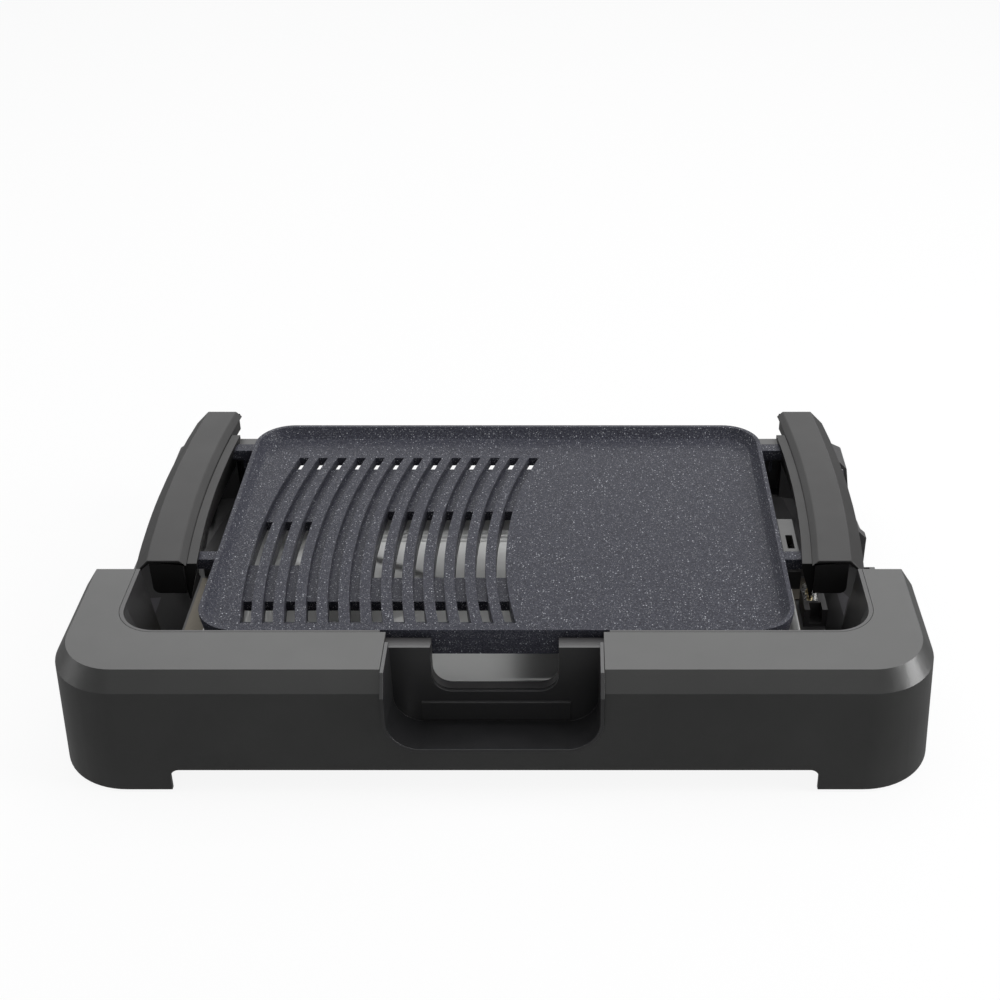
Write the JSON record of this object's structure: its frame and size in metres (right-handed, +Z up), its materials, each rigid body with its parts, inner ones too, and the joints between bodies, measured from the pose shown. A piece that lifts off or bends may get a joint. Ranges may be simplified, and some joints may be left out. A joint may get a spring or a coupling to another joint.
{
  "type": "electric grill",
  "caption": "Low electric table grill: moulded base with rear towers, lift-out drip tray and a ribbed cast plate with two side handles that lifts off",
  "frame": {"origin": "middle of the footprint on the table, under the feet", "axes": "+X to the right seen from the front, +Y to the rear, +Z up"},
  "size_m": [0.5818, 0.3404, 0.0973],
  "materials": {
    "base_plastic": "black, finely grained moulding",
    "housing_plastic": "black, finely grained moulding",
    "panel_plastic": "black, smoother insert",
    "recess_plastic": "black moulding",
    "cover_plastic": "black moulding",
    "handle_plastic": "black heat-proof moulding",
    "guard_plastic": "black heat-proof moulding",
    "inlet_plastic": "black heat-proof moulding",
    "coated_cast": "cast, dark speckled non-stick coat",
    "tray_aluminium": "pressed satin sheet",
    "shield_metal": "pressed sheet",
    "element_steel": "heat-tinted tube",
    "clamp_steel": "bent strip",
    "spring_steel": "bright bent strip",
    "screw_steel": "zinc-plated",
    "pin_brass": "bright",
    "foot_rubber": "matte"
  },
  "bodies": {
    "base": {"outer_shell": "base_plastic", "inner_housing": "housing_plastic", "tower_panel_right": "panel_plastic", "tower_panel_left": "panel_plastic", "hand_recess": "recess_plastic", "shell_screws": "screw_steel", "heat_shield": "shield_metal", "heat_shield_screws": "screw_steel", "bottom_cover": "cover_plastic", "bottom_cover_screws": "screw_steel", "rubber_feet": "foot_rubber", "contact_block": "housing_plastic", "contact_spring": "spring_steel", "contact_screws": "pin_brass"},
    "tray": {"drip_tray": "tray_aluminium"},
    "plate": {"grill_plate": "coated_cast", "heating_element": "element_steel", "probe_tube": "element_steel", "element_clamps": "clamp_steel", "clamp_screws": "screw_steel", "handle_grip_right": "handle_plastic", "handle_grip_left": "handle_plastic", "handle_cover_right": "handle_plastic", "handle_cover_left": "handle_plastic", "heat_guard_right": "guard_plastic", "heat_guard_left": "guard_plastic", "handle_screws": "screw_steel", "inlet_block": "inlet_plastic", "inlet_pins": "pin_brass"}
  },
  "joints": [
    {"name": "plate_lift", "type": "slide", "parent": "base", "child": "plate", "axis": [0, 0, 1], "range_m": [0, 0.16]},
    {"name": "tray_lift", "type": "slide", "parent": "base", "child": "tray", "axis": [0, 0, 1], "range_m": [0, 0.02]}
  ]
}
